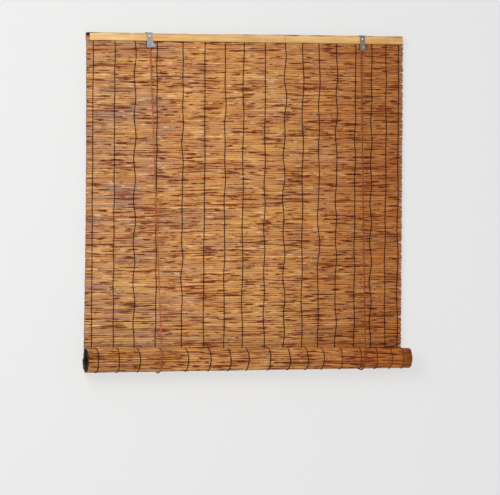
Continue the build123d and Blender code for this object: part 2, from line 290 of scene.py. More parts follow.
def backdrop(name, glowLevel, mattLevel, unseen):
    # pale to the eye from its front, clear from behind, and plain or clear to the other rays
    material, tree, surface = newMaterial(name)
    tree.nodes.remove(surface)
    glow = addNode(tree, "Emission")
    glow.inputs["Strength"].default_value = glowLevel
    matt = addNode(tree, "BsdfDiffuse")
    matt.inputs["Color"].default_value = (mattLevel, mattLevel, mattLevel, 1)
    both = addNode(tree, "AddShader")
    tree.links.new(glow.outputs[0], both.inputs[0])
    tree.links.new(matt.outputs[0], both.inputs[1])
    front = chosen(tree, seenRays(tree), addNode(tree, unseen).outputs[0], both.outputs[0])
    behind = addNode(tree, "NewGeometry").outputs["Backfacing"]
    shader = chosen(tree, behind, front, addNode(tree, "BsdfTransparent").outputs[0])
    tree.links.new(shader, tree.nodes["Material Output"].inputs["Surface"])
    return material


def setStage():
    z, half = stageSet["floorZ"], stageSet["floorHalf"]
    near, far = stageSet["floorFront"], stageSet["floorBack"]
    floor = backdrop("paleFloor", stageSet["floorGlow"], stageSet["floorColour"], "BsdfDiffuse")
    stagePlane("floor", [(-half, near, z), (half, near, z), (half, far, z), (-half, far, z)], floor)
    y, half, top = stageSet["wallY"], stageSet["wallHalf"], stageSet["wallTop"]
    wall = backdrop("paleWall", stageSet["wallGlow"], stageSet["wallColour"], "BsdfTransparent")
    stagePlane("wall", [(-half, y, z), (half, y, z), (half, y, top), (-half, y, top)], wall)


placeCamera()
lightRoom()
setStage()
print("camera, light and stage set")


# lift cords: strands laid up, over the pulley, down the front, under the roll and up the back
cordSet = {
    "radius": 0.0015, "strands": 3, "strandRadius": 0.00108, "strandOffset": 0.00085, "strandSides": 6,
    "lay": 0.0085, "step": 0.0011, "fewestSteps": 8,
    "pulleyY": -0.018375, "pulleyZ": -0.0192, "turnRadius": 0.0058, "lead": 0.008,
    "cornerGrow": 1.12,  # the spline cuts its corners, so they stand a little outside the groove
    "loopRise": 0.015, "slack": 0.0005, "tieY": -0.00575, "tieZ": -0.0065,
    "cornerOut": 0.0006,  # keeps the spline clear of the roll at its corners
    "knotDrop": 0.0052, "knotHang": 0.0014, "knotSize": 0.00052, "knotRadius": 0.0009,
    "knotSides": 8, "knotPoints": 61,
    "colour": paint(198, 106, 54), "dark": paint(142, 68, 34), "pale": paint(208, 134, 84),
    "dull": paint(118, 56, 24),
    "sides": {"left": {"pulleyX": -0.296, "loopX": -0.2885, "tieX": -0.3005},
              "right": {"pulleyX": 0.3066, "loopX": 0.2925, "tieX": 0.3075}},
}


def cordMaterial():
    material, tree, surface = newMaterial("liftCord", Roughness=0.86, Specular_IOR_Level=0.2,
                                          Sheen_Weight=0.05)
    x, y, z = place(tree)
    hairs = cloud(tree, stretched(tree, (x, y, z), (3.0, 1.0, 3.0)), 900, 3)
    soil = cloud(tree, spread(tree, x, y, z), 22, 3)
    colour = mixed(tree, remap(tree, hairs, 0.35, 0.7), cordSet["dark"], cordSet["colour"])
    colour = mixed(tree, remap(tree, soil, 0.5, 0.75, 0.0, 0.5), colour, cordSet["pale"])
    colour = mixed(tree, remap(tree, x, -0.1, 0.3, 0.0, 0.75), colour, cordSet["dull"])
    tree.links.new(colour, surface.inputs["Base Color"])
    relief(tree, surface, hairs, 0.5, 0.0002)
    return material


def splineLine(route):  # a cord's smooth line, read from the spline of its route's points
    curve = bpy.data.curves.new("route", "CURVE")
    curve.dimensions = "3D"
    spline = curve.splines.new("NURBS")
    spline.points.add(len(route) - 1)
    for point, spot in zip(spline.points, route):
        point.co = (*spot, 1)
    spline.order_u = 3
    spline.use_endpoint_u = True
    reach = np.linalg.norm(np.diff(np.array(route, float), axis=0), axis=1).sum()
    steps = math.ceil(reach / cordSet["step"] / (len(route) - 1))
    spline.resolution_u = max(cordSet["fewestSteps"], steps)
    holder = bpy.data.objects.new("route", curve)
    mesh = bpy.data.meshes.new_from_object(holder)
    line = np.array([vertex.co[:] for vertex in mesh.vertices])
    bpy.data.objects.remove(holder)
    bpy.data.curves.remove(curve)
    bpy.data.meshes.remove(mesh)
    return line


def cordPiece(name, route, material, reference):
    line = splineLine(route)
    run = np.concatenate(([0], np.cumsum(np.linalg.norm(np.diff(line, axis=0), axis=1))))
    turns = 2 * np.pi * run / cordSet["lay"]
    across, other = acrossLine(line, reference)
    parts = []
    for strand in range(cordSet["strands"]):
        angle = turns + strand * 2 * np.pi / cordSet["strands"]
        offset = np.cos(angle)[:, None] * across + np.sin(angle)[:, None] * other
        centre = line + cordSet["strandOffset"] * offset
        rings = tubeRings(centre, cordSet["strandRadius"], cordSet["strandSides"], reference)
        parts.append((rings, None))
    piece = skinned(name, parts, material)
    return piece, line, run[-1]


def knotPiece(name, centre, material):
    t = np.linspace(0, 2 * np.pi, cordSet["knotPoints"])
    loop = np.stack((np.sin(t) + 2 * np.sin(2 * t), np.cos(t) - 2 * np.cos(2 * t), -np.sin(3 * t)), 1)
    line = centre + cordSet["knotSize"] * loop
    rings = tubeRings(line, cordSet["knotRadius"], cordSet["knotSides"], (0.1, 0.2, 1))
    piece = skinned(name, [(rings, None)], material, sharp=180)
    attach(piece, "head_and_mat")
    return piece


def shorten(piece):  # gives the piece a mesh of its own
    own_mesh(piece)


def makeCords():
    material = cordMaterial()
    turn, y, z = cordSet["turnRadius"], cordSet["pulleyY"], cordSet["pulleyZ"]
    wide, out, tieY = turn * cordSet["cornerGrow"], cordSet["cornerOut"], cordSet["tieY"]
    for name, side in cordSet["sides"].items():
        pulleyX, x = side["pulleyX"], side["loopX"]
        _, middleY, middleZ = rollCentre(x)
        reach = rollRadius(x) + cordSet["slack"] + cordSet["radius"]
        frontY, lowZ, topZ = middleY - reach, middleZ - reach, middleZ + cordSet["loopRise"]
        # over the pulley, from a knot behind the bracket's plate
        start = (pulleyX + turn, y, z - cordSet["knotDrop"])
        lead = (pulleyX - turn, y, z - cordSet["lead"])
        route = [start, (pulleyX + wide, y, z + wide), (pulleyX - wide, y, z + wide), lead]
        head, line, length = cordPiece(name + "PulleyCord", route, material, (0, 1, 0))
        knot = knotPiece(name + "CordKnot", np.array(start) - (0, 0, cordSet["knotHang"]), material)
        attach(head, "head_and_mat")
        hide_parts(name + "_front_cord")
        # down the front
        end = (x, frontY, topZ + cordSet["slack"])
        run, line, length = cordPiece(name + "FrontCord", [lead, end], material, (0, 1, 0))
        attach(run, "head_and_mat")
        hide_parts(name + "_front_cord")
        shorten(run)
        # round under the roll
        route = [(x, frontY, topZ), (x, frontY - out, lowZ - out),
                 (x, tieY + out, lowZ - out), (x, tieY, topZ)]
        loop, line, length = cordPiece(name + "CordLoop", route, material, (1, 0, 0))
        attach(loop, "cord_loops")
        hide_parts("cord_loops")
        # up the back to the head
        tie = (side["tieX"], tieY, cordSet["tieZ"])
        foot = (x, tieY, topZ + cordSet["slack"])
        back, line, length = cordPiece(name + "BackCord", [tie, foot], material, (0, 1, 0))
        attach(back, "head_and_mat")
        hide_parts(name + "_back_cord")
        shorten(back)


makeCords()
print("lift cords laid")


# reeds: each one its own stick, a little bent, tapered and knotted
reedSet = {
    "halfHeight": 0.00345, "halfDepth": 0.00285, "sides": 8, "stations": 22,
    "endStations": (0.0008, 0.006, 0.012, 0.02), "knotStations": (0.0008, 0.003),
    "knots": 4, "knotsKept": 0.8, "knotInset": 0.02, "knotReach": 0.0025, "knotSwell": 0.07,
    "taper": 0.10, "ripple": 0.03, "ripples": (20, 50), "tipReach": 0.016,
    "lip": 0.55, "pit": 0.45, "cutShade": 0.8, "sharp": 70,
    "light": paint(231, 176, 102), "dark": paint(200, 138, 74), "red": paint(208, 124, 60),
    "lilac": paint(166, 126, 112), "pale": paint(234, 196, 148), "groove": paint(124, 64, 18),
    "dash": paint(98, 32, 5), "longDash": paint(126, 52, 10), "greyDash": paint(122, 80, 60),
    "dashBrown": paint(146, 72, 26), "knot": paint(64, 36, 26), "deepShade": paint(33, 23, 15),
    # dark dashes: where across the stick, which run, how short, how thin, from what level, colour
    "dashes": ((2.0, 9.0, 12.0, 1.8, 0.475, "longDash"), (17.0, 14.0, 20.0, 1.5, 0.53, "greyDash"),
               (7.0, 4.0, 24.0, 1.4, 0.485, "dash")),
    # how the hanging mat and the roll differ: grey stretches with a painted reflection, how many dark dashes,
    # painted shade in the grooves and inside the roll, and tints from left to right that paint shade
    "mat": {"greyAndSheen": 1.0, "moreDashes": 0.0, "inside": 0.0, "groove": (0.42, 0.7, 0.6), "flank": (0.24, 0.16),
            "left": (0.9, 0.93, 0.98, 1.0), "middle": (0.96, 0.96, 0.97, 1.0),
            "right": (0.71, 0.52, 0.37, 1.0), "end": paint(186, 150, 130), "endFrom": 0.41, "endTo": 0.421},
    # on the roll the inside darkening, the darker left tint and the dark right-end colour are painted shade
    "roll": {"greyAndSheen": 0.25, "moreDashes": 0.015, "inside": 0.9, "groove": (0.42, 0.53, 1.0), "flank": (0.19, 0.13),
             "left": (0.82, 0.72, 0.65, 1.0), "middle": (0.97, 0.95, 0.94, 1.0),
             "right": (0.77, 0.51, 0.27, 1.0), "end": paint(70, 34, 18), "endFrom": 0.39, "endTo": 0.425},
}


def reedMaterial(name, look):
    material, tree, surface = newMaterial(name, Roughness=0.58, Specular_IOR_Level=0.18)
    x, _, z = place(tree)
    tone, lane, turn, knot = marks(tree, "reedMarks")
    lane = sums(tree, "MULTIPLY", lane, 61.0)
    aside = sums(tree, "ABSOLUTE", sums(tree, "SUBTRACT", turn, 0.5))  # 0 on the face, 0.5 at the back

    def streak(shift, scale, detail=2, across=0.0, along=lane):
        return cloud(tree, spread(tree, x, sums(tree, "ADD", along, shift), across), scale, detail)

    # the stick's own colour: golden to brown, with redder, greyer and paler stretches; the grey is partly a
    # painted reflection
    blend = sums(tree, "ADD", tone, streak(0.0, 9.0))
    colour = mixed(tree, remap(tree, blend, 0.6, 1.35), reedSet["dark"], reedSet["light"])
    colour = mixed(tree, remap(tree, streak(3.0, 5.0, 1), 0.5, 0.7, 0.0, 0.5), colour, reedSet["red"])
    patch = cloud(tree, stretched(tree, (x, z, lane), (1.0, 2.2, 0.005)), 8.0, 2)
    # the grey grows on the left as a painted reflection of the light
    left = remap(tree, x, -0.45, 0.0, 1.0, 0.35)
    grey = sums(tree, "MULTIPLY", remap(tree, patch, 0.42, 0.66, 0.12, 0.8), left)
    colour = mixed(tree, sums(tree, "MULTIPLY", grey, look["greyAndSheen"]), colour, reedSet["lilac"])
    fibre = cloud(tree, stretched(tree, (x, lane, turn), (9.0, 1.0, 2.4)), 8.0, 4)
    colour = mixed(tree, remap(tree, fibre, 0.35, 0.6, 0.2, 0.0), colour, reedSet["longDash"])
    worn = streak(12.0, 24.0, 2, sums(tree, "MULTIPLY", turn, 0.05))
    colour = mixed(tree, remap(tree, worn, 0.57, 0.7, 0.0, 0.6), colour, reedSet["pale"])
    # painted shade in the grooves between the sticks, stronger in some stretches
    low, high, depth = look["groove"]
    flank = remap(tree, aside, *look["flank"], 1.0, 0.0)
    groove = sums(tree, "MULTIPLY", flank, remap(tree, streak(5.0, 11.0), low, high, 0.0, depth))
    colour = mixed(tree, groove, colour, reedSet["groove"])
    # dark dashes with tapered ragged ends, crowded in some places, others on the back than on the face
    crowd = cloud(tree, stretched(tree, (x, 3.0, z), (0.7, 1.0, 2.0)), 11.0, 2)
    crowd = remap(tree, crowd, 0.35, 0.65, look["moreDashes"] - 0.03, look["moreDashes"] + 0.03)
    ragged = sums(tree, "MULTIPLY", sums(tree, "SUBTRACT", fibre, 0.5), 0.09)
    ragged = sums(tree, "ADD", ragged, crowd)
    behind = sums(tree, "GREATER_THAN", aside, 0.25)
    face = sums(tree, "ADD", lane, sums(tree, "MULTIPLY", behind, 70.0))
    half = sums(tree, "FRACT", sums(tree, "ADD", sums(tree, "MULTIPLY", turn, 2.0), 0.5))
    half = sums(tree, "ADD", sums(tree, "MULTIPLY", half, 0.5), 0.25)
    for centre, run, scale, thin, level, tint in reedSet["dashes"]:
        height = remap(tree, streak(centre, 5.0, 1, along=face), 0.3, 0.7, 0.36, 0.65)
        away = sums(tree, "ABSOLUTE", sums(tree, "SUBTRACT", half, height))
        dashLevel = sums(tree, "SUBTRACT", streak(run, scale, along=face), sums(tree, "MULTIPLY", away, thin))
        dashLevel = sums(tree, "ADD", dashLevel, ragged)
        dashTint = mixed(tree, remap(tree, fibre, 0.42, 0.68, 0.0, 0.6), reedSet[tint], reedSet["dashBrown"])
        colour = mixed(tree, remap(tree, dashLevel, level, level + 0.055), colour, dashTint)
    # cut ends (pale on the mat, painted shade at the roll's right end), darker knots with painted shade at
    # the cuts, painted shade inside the roll, and a tint that deepens to the right as painted shade
    colour = mixed(tree, remap(tree, x, look["endFrom"], look["endTo"], 0.0, 0.5), colour, look["end"])
    colour = mixed(tree, sums(tree, "MULTIPLY", knot, 0.8), colour, reedSet["knot"])
    # near-black painted shade in the cut hollows, on the roll's ends and inner turns, and at the top left
    # corner
    colour = mixed(tree, remap(tree, knot, 0.9, 1.0), colour, reedSet["deepShade"])
    # painted shade on the back of each stick, used inside the roll
    backShade = remap(tree, aside, 0.36, 0.2, 1.0, 0.0)
    colour = mixed(tree, sums(tree, "MULTIPLY", backShade, look["inside"]), colour, reedSet["deepShade"])
    # painted shade: the tints darken the roll's left end and deepen both sheets towards the right
    tint = mixed(tree, remap(tree, x, -0.36, -0.2), look["left"], look["middle"])
    tint = mixed(tree, remap(tree, x, -0.05, 0.44), tint, look["right"])
    colour = mixed(tree, 1.0, colour, tint, "MULTIPLY")
    tree.links.new(colour, surface.inputs["Base Color"])
    tree.links.new(remap(tree, fibre, 0.3, 0.7, 0.48, 0.68), surface.inputs["Roughness"])
    relief(tree, surface, fibre, 0.35, 0.0003)
    return material


def reed(random, x0, x1, lineOf, size, hollow=0.0012, extra=(), shadedShare=0.0, cut=0.6, tip=0.0):
    # lineOf(x, share) gives the stick's centre line and the two directions across it
    knots = np.sort(random.uniform(x0 + reedSet["knotInset"], x1 - reedSet["knotInset"], reedSet["knots"]))
    knots = knots[random.random(len(knots)) < reedSet["knotsKept"]]
    stations = [np.linspace(x0, x1, reedSet["stations"]), extra]
    stations += [(x0 + inset, x1 - inset) for inset in reedSet["endStations"]]
    stations += [knots + way * shift for shift in reedSet["knotStations"] for way in (-1, 1)]
    x = np.unique(np.concatenate(stations))
    near = np.zeros_like(x)
    for spot in knots:
        near = np.maximum(near, np.clip(1 - np.abs(x - spot) / reedSet["knotReach"], 0, 1))
    share = (x - x0) / (x1 - x0)
    taper = 1 + random.choice((-1, 1)) * reedSet["taper"] * (share - 0.5)
    ripple = 1 + reedSet["ripple"] * np.sin(share * random.uniform(*reedSet["ripples"]))
    swell = taper * (1 + reedSet["knotSwell"] * near) * ripple
    swell = swell * (1 - tip * np.clip(1 - (x1 - x) / reedSet["tipReach"], 0, 1))
    centre, upward, outward = lineOf(x, share)
    angle = ringAngles(reedSet["sides"])[None, :, None]
    high = (size * swell * reedSet["halfHeight"])[:, None, None]
    deep = (size * swell * reedSet["halfDepth"])[:, None, None]
    rings = (centre[:, None] - deep * np.cos(angle) * outward[:, None]
             + high * np.sin(angle) * upward[:, None])
    # cut ends with a small hollow
    lips, pits = [], []
    for index, way in ((0, 1), (-1, -1)):
        rim = rings[index] - centre[index]
        lips.append(centre[index] + reedSet["lip"] * rim)
        pits.append(centre[index] + reedSet["pit"] * rim + np.array((way * hollow, 0, 0)))
    rings = np.concatenate(([pits[0]], [lips[0]], rings, [lips[1]], [pits[1]]))
    # marks: tone, lane, place round the stick, and knots with painted shade at the cuts
    near = near * random.uniform(0.3, 1.0)
    near = np.maximum(near, share < shadedShare)
    near[[0, -1]] = np.maximum(near[[0, -1]], cut)
    lipShade = max(cut, reedSet["cutShade"])
    near = np.concatenate(([1.0, lipShade], near, [lipShade, 1.0]))
    tint = np.empty((*rings.shape[:2], 4))
    tint[..., 0] = np.clip(random.normal(0.5, 0.2), 0, 1)
    tint[..., 1] = random.random()
    tint[..., 2] = (np.arange(reedSet["sides"]) / reedSet["sides"])[None, :]
    tint[..., 3] = near[:, None]
    return rings, tint


# the hanging mat: its sticks, their ragged ends, and the places where two crooked ones part
matSet = {
    "seed": 7, "pitch": 0.00605, "topGap": 0.0026, "bottomGap": 0.003, "uneven": 0.0001,
    "sizes": (0.95, 1.04), "tips": (0.0, 0.28), "slant": 0.00022, "bend": 0.00012, "depth": 0.00015,
    "leftLean": -0.0075, "leftBow": 0.0028, "leftRagged": 0.001,
    "rightOut": 0.0012, "rightLean": -0.0065, "rightSteps": (0.0, 0.0003, 0.0012), "rightRagged": 0.0006,
    "fan": 0.0006, "fanReach": 0.012,
    # slow rise and fall that neighbours share: its height, then turns along x and z, shift and share
    "wave": 0.0011, "waves": ((7, 9, 0, 0.6), (15, -5, 1, 0.3), (3, 23, 0, 0.3)),
    # how far it comes forward on its way into the roll, and in the nip
    "lean": 0.0024, "leanReach": 0.09, "nip": 0.0013, "nipFrom": 0.001, "nipReach": 0.004,
    "gapCount": 26, "gapOpen": 0.0006, "gapHalf": 0.011, "gapMargin": 0.07, "gapTopRow": 4, "gapRowsLess": 16,
    "gapStations": (-2, -1.3, -0.7, 0, 0.7, 1.3, 2), "golden": 0.618034,
    # the sticks that the laths clamp: height, size, and the share at the left darkened by painted shade
    "headReeds": ((-0.0066, 0.9, 0.0), (-0.0006, 0.9, 0.0), (0.0054, 0.9, 0.011), (0.0085, 0.82, 0.045)),
    "headInset": 0.002, "headStations": (-0.4685, -0.4665, -0.4385, -0.4325),
}


def drape(x, z):
    return matSet["wave"] * sum(np.sin(a * x + b * z + shift) * share
                                for a, b, shift, share in matSet["waves"])


def lean(z):
    low = blind["bottom"]
    return (matSet["lean"] * np.clip(1 - (z - low) / matSet["leanReach"], 0, 1) ** 2
            + matSet["nip"] * np.clip((low + matSet["nipFrom"] - z) / matSet["nipReach"], 0, 1))


def flatLine(random, z, forward, parted=()):
    slant = random.normal(0, matSet["slant"])
    wave, phase = random.uniform(3, 8), random.uniform(0, 6)
    leftFan = random.normal(0, matSet["fan"]) / 4
    rightFan = random.choice((-1, 1)) * random.uniform(0.3, 1.5) * matSet["fan"]
    depth = random.normal(0, matSet["depth"])

    def lineOf(x, share):
        reach = matSet["fanReach"]
        fan = (leftFan * np.clip(1 - (x - x[0]) / reach, 0, 1) ** 2
               + rightFan * np.clip(1 - (x[-1] - x) / reach, 0, 1) ** 2)
        bend = matSet["bend"] * np.sin(wave * share * 6 + phase)
        rise = z + drape(x, z) + slant * (share - 0.5) + bend + fan
        for spot, way in parted:
            rise = rise + way * matSet["gapOpen"] * np.exp(-((x - spot) / matSet["gapHalf"]) ** 2)
        centre = np.stack((x, np.full_like(x, blind["midY"] + depth - forward), rise), 1)
        upward = np.tile((0.0, 0.0, 1.0), (len(x), 1))
        outward = np.tile((0.0, -1.0, 0.0), (len(x), 1))
        return centre, upward, outward
    return lineOf


def matRows():  # the highest and lowest stick below the laths, and how many steps lie between
    top, bottom = blind["lathBottom"] - matSet["topGap"], blind["bottom"] + matSet["bottomGap"]
    return top, bottom, round((top - bottom) / matSet["pitch"])


def partedRows(count):  # for each row beside a gap: where the gap is, and which way the stick bends
    rows, gaps, margin = {}, matSet["gapCount"], matSet["gapMargin"]
    width = blind["right"] - blind["left"] - 2 * margin
    for index in range(gaps):
        spot = blind["left"] + margin + width * (index * matSet["golden"] % 1)
        row = round(matSet["gapTopRow"] + (count - matSet["gapRowsLess"]) * (index + 0.5) / gaps)
        rows.setdefault(row, []).append((spot, 1))
        rows.setdefault(row + 1, []).append((spot, -1))
    return rows


def makeMat(material):
    random = np.random.default_rng(matSet["seed"])
    top, bottom, count = matRows()
    parted = partedRows(count)
    parts = []
    for row in range(count + 2):  # the last one lies in the nip between mat and roll
        share = row / count
        z = top + share * (bottom - top) + random.normal(0, matSet["uneven"])
        x0 = blind["left"] + matSet["leftLean"] * share + random.uniform(0, matSet["leftRagged"])
        x0 += matSet["leftBow"] * max(0, math.sin(math.pi * share))
        x1 = blind["right"] + matSet["rightOut"] + matSet["rightLean"] * share
        x1 -= random.choice(matSet["rightSteps"])
        x1 -= random.uniform(0, matSet["rightRagged"])
        spots = parted.get(row, [])
        extra = [spot + shift * matSet["gapHalf"] for spot, _ in spots for shift in matSet["gapStations"]]
        line = flatLine(random, z, lean(z), spots)
        size, tip = random.uniform(*matSet["sizes"]), random.uniform(*matSet["tips"])
        parts.append(reed(random, x0, x1, line, size, extra=extra, tip=tip))
    mat = skinned("reedMat", parts, material, "reedMarks", reedSet["sharp"])
    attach(mat, "head_and_mat")
    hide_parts("reed_mat")
    shorten(mat)
    # the few sticks that the laths clamp, with painted shade at the top left corner
    parts = []
    for z, size, shadedShare in matSet["headReeds"]:
        line = flatLine(random, z, 0)
        x0 = blind["left"] + random.uniform(0, matSet["headInset"])
        x1 = blind["right"] - matSet["headInset"]
        parts.append(reed(random, x0, x1, line, size, extra=matSet["headStations"], shadedShare=shadedShare))
    head = skinned("headReeds", parts, material, "reedMarks", reedSet["sharp"])
    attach(head, "head_and_mat")
    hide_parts("reed_mat")


# the roll: the mat wound in from the back, under and up the front, in turns that step inwards
rollSet = {"seed": 21, "turns": 3, "lastGap": 0.1, "core": 0.0098, "stepFrom": 0.72, "inset": 0.0028,
           "pitch": 0.0060, "pitchAt": -0.2, "sizes": (0.82, 0.98), "wobble": 0.0002, "hollow": 0.004,
           "endRecess": 0.0008, "ragged": 0.0008, "rightRagged": 1.6 * 0.0008, "shadedShare": 0.03}


def rollPlace(turn, x):
    # where a turn's reed lies at x: the radius to its middle and the angle from the back, going under
    layer = math.floor(turn)
    step = min(max((turn - layer - rollSet["stepFrom"]) / (1 - rollSet["stepFrom"]), 0), 1)
    outer = rollRadius(x) - rollSet["inset"]
    depth = (layer + step * step * (3 - 2 * step)) / rollSet["turns"]
    return outer - depth * (outer - rollSet["core"]), 2 * math.pi * turn


def rollLine(random, turn):
    wobble, phase = random.normal(0, rollSet["wobble"]), random.uniform(0, 6)

    def lineOf(x, share):
        radius, angle = rollPlace(turn, x)
        radius = radius + wobble * np.sin(5 * share + phase)
        outward = np.tile((0.0, math.cos(angle), -math.sin(angle)), (len(x), 1))
        sideways = np.tile((0.0, math.sin(angle), math.cos(angle)), (len(x), 1))
        return rollCentre(x).T + radius[:, None] * outward, sideways, outward
    return lineOf


def makeRoll(material):
    random = np.random.default_rng(rollSet["seed"])
    parts, turn = [], 0.0
    while turn < rollSet["turns"] - rollSet["lastGap"]:
        recess = rollSet["endRecess"] * math.floor(turn)
        x0 = blind["rollLeft"] + recess + random.uniform(0, rollSet["ragged"])
        x1 = blind["rollLeft"] + blind["rollLength"] - recess - random.uniform(0, rollSet["rightRagged"])
        line = rollLine(random, turn)
        # painted shade on the left ends of the inner turns
        shadedShare = rollSet["shadedShare"] if turn >= 1 else 0.0
        parts.append(reed(random, x0, x1, line, random.uniform(*rollSet["sizes"]), rollSet["hollow"],
                          shadedShare=shadedShare, cut=1.0))
        turn += rollSet["pitch"] / (2 * math.pi * rollPlace(turn, rollSet["pitchAt"])[0])
    roll = skinned("rollReeds", parts, material, "reedMarks", reedSet["sharp"])
    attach(roll, "roll")
    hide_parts("rolled_mat")


makeMat(reedMaterial("matReed", reedSet["mat"]))
makeRoll(reedMaterial("rollReed", reedSet["roll"]))
print("mat and roll made")


# warp threads: two strands twined on the mat's face and one behind it, and a pair round the roll
threadSet = {
    "seed": 33, "radius": 0.00095, "sides": 5, "topGap": 0.0004, "bottomGap": 0.001, "runOn": 1.25,
    "lean": -0.006, "wander": 0.0016, "waves": 4, "apart": 0.0007, "sway": 0.0002, "sunk": 0.0002,
    "dip": 0.0004, "hoopFrom": 10, "hoopTo": 325, "hoopPoints": 122, "hoopShift": 0.001, "hoopLie": 0.96,
    "hoopRipple": 0.0004, "hoopSway": 0.0008, "hoopApart": 0.0006,
    "colour": paint(58, 29, 18), "dark": paint(32, 15, 9), "pale": paint(88, 48, 29),
    "worn": paint(118, 62, 30), "rollFade": 0.85,
}


def threadMaterial(name, fade):
    material, tree, surface = newMaterial(name, Roughness=0.9, Specular_IOR_Level=0.12, Sheen_Weight=0.05)
    x, y, z = place(tree)
    twist = cloud(tree, stretched(tree, (x, y, z), (2.0, 1.0, 1.0)), 1400, 2)
    age = cloud(tree, spread(tree, x, y, z), 30, 3)
    colour = mixed(tree, remap(tree, twist, 0.35, 0.65), threadSet["dark"], threadSet["colour"])
    colour = mixed(tree, remap(tree, age, 0.5, 0.75, 0.0, 0.6), colour, threadSet["pale"])
    colour = mixed(tree, remap(tree, x, 0.0, 0.38, 0.0, fade), colour, threadSet["worn"])
    tree.links.new(colour, surface.inputs["Base Color"])
    relief(tree, surface, twist, 0.5, 0.0002)
    return material


def threadTube(line):
    return tubeRings(line, threadSet["radius"], threadSet["sides"], (1, 0, 0)), None


def warpStrands(x, waves):
    top, bottom = blind["lathBottom"] - threadSet["topGap"], blind["bottom"] + threadSet["bottomGap"]
    first, last, count = matRows()
    pitch = (first - last) / count
    nip = bottom - threadSet["runOn"] * pitch  # the back strand runs on to the last stick
    parts = []
    for side, apart, phase, step, end in ((-1, threadSet["apart"], 0, pitch / 3, bottom),
                                          (-1, threadSet["apart"], np.pi, pitch / 3, bottom),
                                          (1, 0.0, 0, pitch / 2, nip)):
        z = np.arange(top, end, -step)
        depth = (top - z) / (top - bottom)
        sideways = x + threadSet["lean"] * (depth - 0.5) + sum(a * np.sin(depth * b + c) for a, b, c in waves)
        row = np.pi * (first - z) / pitch
        lie = reedSet["halfDepth"] - threadSet["sunk"] - threadSet["dip"] * np.sin(row) ** 2
        y = blind["midY"] - lean(z) + side * lie + threadSet["sway"] * np.sin(row + phase)
        line = np.stack((sideways + apart * np.cos(row + phase), y, z + drape(sideways, z)), 1)
        parts.append(threadTube(line))
    return parts


def rollHoops(x, phase):
    start, end = math.radians(threadSet["hoopFrom"]), math.radians(threadSet["hoopTo"])
    angle = np.linspace(start, end, threadSet["hoopPoints"])
    radius = np.array([rollPlace(a / (2 * math.pi), x)[0] for a in angle])
    radius = radius + reedSet["halfDepth"] * threadSet["hoopLie"]
    radius = radius + threadSet["hoopRipple"] * np.cos(angle * 31)
    _, middleY, middleZ = rollCentre(x)
    parts = []
    for apart in (0.0, np.pi):
        across = (x + threadSet["hoopSway"] * np.sin(3 * angle + phase)
                  + threadSet["hoopApart"] * np.cos(15 * angle + apart))
        line = np.stack((across, middleY + radius * np.cos(angle), middleZ - radius * np.sin(angle)), 1)
        parts.append(threadTube(line))
    return parts


def makeThreads():
    random = np.random.default_rng(threadSet["seed"])
    strands, pairs = [], []
    for share in blind["warpShares"]:
        x = blind["left"] + share * (blind["right"] - blind["left"])
        waves = [(random.normal(0, threadSet["wander"] / 2), random.uniform(8, 60), random.uniform(0, 6))
                 for _ in range(threadSet["waves"])]
        strands += warpStrands(x, waves)
        spot = x + threadSet["lean"] * 0.5 + random.normal(0, threadSet["hoopShift"])
        pairs += rollHoops(spot, random.uniform(0, 6))
    warp = skinned("warpThreads", strands, threadMaterial("warpThread", 0.0), sharp=180)
    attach(warp, "head_and_mat")
    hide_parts("warp_threads")
    shorten(warp)
    hoops = skinned("rollThreads", pairs, threadMaterial("rollThread", threadSet["rollFade"]), sharp=180)
    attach(hoops, "roll")
    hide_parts("roll_warp_threads")


makeThreads()
print("warp threads twined")


def finishNode(name, material, bevel=0.0):  # a CAD piece keeps its shape and gets its finish
    piece = nodes[name]
    piece.data.materials.clear()
    piece.data.materials.append(material)
    if bevel:
        soften = piece.modifiers.new("softEdges", "BEVEL")
        soften.width = bevel
        soften.segments = 2
        soften.limit_method = "ANGLE"
        soften.angle_limit = math.radians(40)


# head laths: split bamboo with its nodes, grain and a small split
lathSet = {
    "seed": 5, "left": -0.4695, "right": 0.4215, "back": -0.01395, "face": -0.02095, "half": 0.0102,
    "crown": 0.0006, "crownShares": (-0.7, -0.35, 0.0, 0.35, 0.7),
    "round": 0.0009, "roundSteps": (0, 30, 60, 90),
    "stations": 90, "closeBy": (0, 0.0006, 0.0015, 0.003, 0.006),
    "endInset": 0.0008, "endDepth": 0.9, "endHeight": 0.95,
    "nodes": (-0.3525, 0.0185, 0.3895), "nodeReach": 0.004, "nodeRise": 0.00035,
    "split": 0.0805, "splitReach": 0.0012, "splitDepth": 0.0003, "splitFoot": -0.006,
    "waver": 0.00035, "wavers": 6, "clampReach": 0.02, "slim": 0.012, "sideReach": 0.006, "proud": 0.0002,
    "softEdge": 0.0004, "sharp": 40,
    "colour": paint(210, 164, 101), "pale": paint(226, 189, 130), "brown": paint(172, 114, 56),
    "dark": paint(96, 62, 38), "rightShade": (1.0, 0.92, 0.78, 1.0), "coreTone": (0.16, 0.12, 0.1, 1.0),
}


